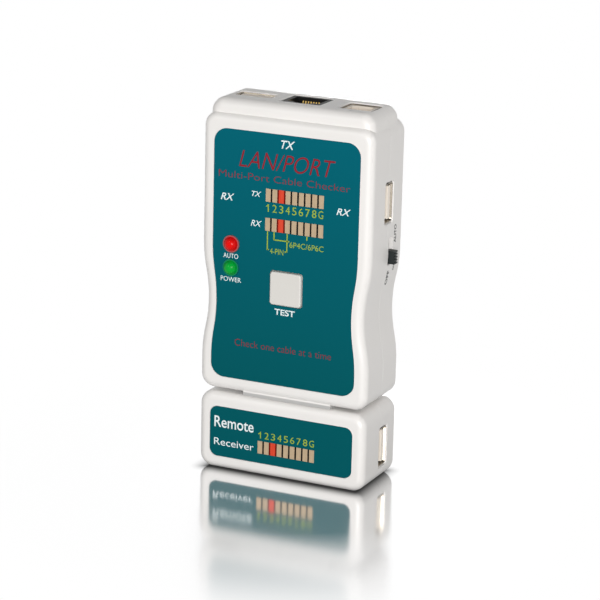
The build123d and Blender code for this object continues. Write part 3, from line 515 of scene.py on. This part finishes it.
# joins flat shapes into one thin layer of ink; toSpace turns sketch points into metres in the frame
def printLayer(name, shapes, toSpace, body, ink):
    points = []
    triangles = []
    count = 0
    for shapePoints, shapeTriangles in shapes:
        points.append(shapePoints)
        triangles.append(shapeTriangles + count)
        count += len(shapePoints)
    places = toSpace(np.vstack(points))
    mesh = bpy.data.meshes.new(name)
    mesh.from_pydata(places.tolist(), [], np.vstack(triangles).tolist())
    mesh.update()
    mesh.materials.append(ink)
    piece = bpy.data.objects.new(name, mesh)
    bpy.context.scene.collection.objects.link(piece)
    layer = piece.modifiers.new("inkLayer", "SOLIDIFY")
    layer.thickness = inkDepth
    layer.offset = -1
    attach(piece, body)


def onLabel(points):  # sketch x, y on the label's face
    depth = np.full(len(points), frontFace - inkHeight)
    return np.column_stack([points[:, 0] * mm, depth, points[:, 1] * mm])


inks = {
    "white": printInk("whiteInk", white, teal),
    "lime": printInk("limeInk", lime, teal),
    "red": printInk("redInk", red, teal),
    "black": printInk("blackInk", linear(40, 44, 44), linear(80, 84, 84)),
}
for ink, marks in mainMarks.items():
    shapes = [letterMesh(*mark) for mark in marks]
    if ink == "lime":
        shapes += [lineMesh(*line) for line in lampLines] + [oneMesh(firstLamp - 0.1, *mainFigures)]
    printLayer("mainPrint." + ink, shapes, onLabel, "main_unit", inks[ink])
for ink, marks in remoteMarks.items():
    shapes = [letterMesh(*mark) for mark in marks]
    if ink == "lime":
        shapes.append(oneMesh(firstLamp + remoteShift - 0.1, *remoteFigures))
    printLayer("remotePrint." + ink, shapes, onLabel, "remote_unit", inks[ink])
print("labels printed")

# Marks beside the slide switch read upwards along the side, which follows the waist
sideMarks = [
    ("AUTO", 86.7, 93.3, -8.4, -6.6, 0.0, 0.025),
    ("OFF", 72.1, 77.4, -4.5, -2.6, 0.0, 0.025),
    ("ON", 76.6, 78.8, -8.6, -7.2, 0.0, 0.02),
]
waist = {"low": 42.0, "high": 84.0, "dip": 2.3, "half": 32.5}


# the waist is two arcs each way, each turning away by a quarter of the height; radius = (h^2 + d^2) / 4d
def sideX(z):
    middle = (waist["low"] + waist["high"]) / 2
    reach = (waist["high"] - waist["low"]) / 2
    dip = waist["dip"]
    radius = (reach**2 + dip**2) / (4 * dip)
    away = np.clip(np.abs(z - middle), 0, reach)
    near = waist["half"] - dip + radius - np.sqrt(radius**2 - away**2)
    far = waist["half"] - radius + np.sqrt(radius**2 - (reach - away) ** 2)
    return np.where(away < reach / 2, near, far)


def onSide(points):  # sketch x runs up the side, sketch y towards the label
    up = points[:, 0]
    return np.column_stack([sideX(up) * mm + inkHeight, -points[:, 1] * mm, up * mm])


sideShapes = [letterMesh(*mark) for mark in sideMarks]
printLayer("sidePrint.black", sideShapes, onSide, "main_unit", inks["black"])
print("side marks printed")


# Marks on the battery, read from behind once the door is open
batteryLow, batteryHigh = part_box("battery")
batteryMarks = [
    ("9V", -20.5, -3.5, 41.5, 54.5, 0.0, 0.02),
    ("+", 13.6, 16.6, 53.4, 56.4, 0.0, 0.02),
    ("-", 13.8, 16.4, 41.8, 42.4, 0.0, 0.0),
]


def onBattery(points):  # sketch x runs to the viewer's right, which is -X here
    left = (batteryLow.x + batteryHigh.x) / mm
    depth = np.full(len(points), batteryHigh.y + inkHeight)
    return np.column_stack([(left - points[:, 0]) * mm, depth, points[:, 1] * mm])


batteryShapes = [letterMesh(*mark) for mark in batteryMarks]
printLayer("batteryPrint.white", batteryShapes, onBattery, "main_unit", inks["white"])
print("battery marks printed")

# Floor, backdrop and light
stageLook = {
    "span": 6.0, "mirror": 0.90, "grazing": 0.62, "fadeStart": 0.066, "fadeEnd": 0.138, "bounce": 0.14,
}
blurLook = {"near": 0.05, "far": 0.15, "reach": 0.075}
contactLook = {"halfWidth": 0.0295, "halfDepth": 0.0136, "reach": 0.0065, "depth": 0.82}


def paleFloor(look):
    # white gloss sheet: a clear mirror image at the base that fades to plain white further out
    f = Finish("paleFloor")
    x, y, z = f.axes()
    reach = (x * x + y * y) ** 0.5
    fade = ((look["fadeEnd"] - reach) / (look["fadeEnd"] - look["fadeStart"])).clamped()
    scattered = f.add("ShaderNodeLightPath", output="Is Diffuse Ray")
    paper = (1.0, 1.0, 1.0)
    seen = f.add("ShaderNodeEmission", None, {"Color": paper, "Strength": 1.0})
    given = f.add("ShaderNodeEmission", None, {"Color": paper, "Strength": look["bounce"]})
    glow = f.add("ShaderNodeMixShader", None, {0: scattered, 1: seen, 2: given})
    blur = blurLook["near"] + (blurLook["far"] - blurLook["near"]) * (reach / blurLook["reach"]).clamped()
    gloss = f.add("ShaderNodeBsdfGlossy", None, {"Color": paper, "Roughness": blur})
    # gloss as on polished acrylic: strong at a low angle, weak from above
    facing = f.add("ShaderNodeLayerWeight", None, {"Blend": 0.5}, output="Facing")
    slant = (facing / look["grazing"]).clamped()
    mirror = look["mirror"] * slant * fade * (1.0 - scattered)
    mixed = f.add("ShaderNodeMixShader", None, {0: mirror, 1: glow, 2: gloss})
    # contact shadow: darkest against the base, gone after a few millimetres
    away = contactLook
    beyondX = f.add("ShaderNodeMath", {"operation": "MAXIMUM"}, {0: x.size() - away["halfWidth"], 1: 0.0})
    beyondY = f.add("ShaderNodeMath", {"operation": "MAXIMUM"}, {0: y.size() - away["halfDepth"], 1: 0.0})
    distance = (beyondX * beyondX + beyondY * beyondY) ** 0.5
    shadow = (1.0 - distance / away["reach"]).clamped() ** 2.0
    dark = f.add("ShaderNodeBsdfDiffuse", None, {"Color": (0.0, 0.0, 0.0)})
    shaded = f.add("ShaderNodeMixShader", None, {0: away["depth"] * shadow, 1: mixed, 2: dark})
    return f.finishWith(shaded)


def floorSheet(look):  # one flat square centred under the object
    half = look["span"] / 2
    corners = [(-half, -half, 0), (half, -half, 0), (half, half, 0), (-half, half, 0)]
    mesh = bpy.data.meshes.new("floor")
    mesh.from_pydata(corners, [], [(0, 1, 2, 3)])
    mesh.materials.append(paleFloor(look))
    floor = bpy.data.objects.new("floor", mesh)
    bpy.context.scene.collection.objects.link(floor)


floorSheet(stageLook)

# even white surround that is brighter to the eye and in mirrors than as a light, and dimmer overhead
roomLook = {"light": 0.38, "dim": 0.75, "start": 0.45, "slope": 3.0}
world = bpy.data.worlds.new("studio")
world.use_nodes = True
bpy.context.scene.world = world
room = Finish("studio", world.node_tree)
direct = room.add("ShaderNodeLightPath", output="Is Camera Ray")
mirrored = room.add("ShaderNodeLightPath", output="Is Glossy Ray")
height = room.add(
    "ShaderNodeSeparateXYZ", None, {0: room.add("ShaderNodeTexCoord", output="Generated")}, output="Z"
)
overhead = ((height - roomLook["start"]) * roomLook["slope"]).clamped() * (1.0 - direct)
plain = roomLook["light"] + (1.0 - roomLook["light"]) * (direct + mirrored).clamped()
surround = plain * (1.0 - roomLook["dim"] * overhead)
sky = room.add("ShaderNodeBackground", None, {"Color": (1.0, 1.0, 1.0), "Strength": surround})
room.add("ShaderNodeOutputWorld", None, {"Surface": sky})


def softLight(name, place, target, width, power):
    light = bpy.data.lights.new(name, "AREA")
    light.size = width
    light.energy = power
    holder = bpy.data.objects.new(name, light)
    holder.location = place
    holder.rotation_euler = (Vector(target) - Vector(place)).to_track_quat("-Z", "Y").to_euler()
    bpy.context.scene.collection.objects.link(holder)


softLight("key", (0.60, -1.08, 0.28), (0, 0, 0.07), 0.5, 13.2)
softLight("fill", (-0.45, -1.0, 0.75), (0, 0, 0.07), 0.15, 1.0)
softLight("back", (-0.45, 1.15, 0.03), (0, 0, 0.06), 0.18, 7.0)

# Camera: three-quarter view from the right, a little above
cameraPlace = Vector((0.36828, -0.79556, 0.30782))
cameraLook = {"azimuth": 24.84, "elevation": 15.6, "roll": 1.44, "lens": 153.93}
turn = math.radians(cameraLook["azimuth"])
tilt = math.radians(cameraLook["elevation"])
roll = math.radians(cameraLook["roll"])
back = Vector((math.sin(turn) * math.cos(tilt), -math.cos(turn) * math.cos(tilt), math.sin(tilt)))
level = Vector((math.cos(turn), math.sin(turn), 0))
right = math.cos(roll) * level + math.sin(roll) * back.cross(level)
up = math.cos(roll) * back.cross(level) - math.sin(roll) * level
lens = bpy.data.cameras.new("camera")
lens.lens = cameraLook["lens"]
lens.sensor_width = 36.0
lens.clip_start = 0.01
eye = bpy.data.objects.new("camera", lens)
turned = Matrix((right, up, back)).transposed().to_4x4()
eye.matrix_world = Matrix.Translation(cameraPlace) @ turned
bpy.context.scene.collection.objects.link(eye)
bpy.context.scene.camera = eye
bpy.context.scene.view_settings.view_transform = "Standard"
print("stage and camera set")
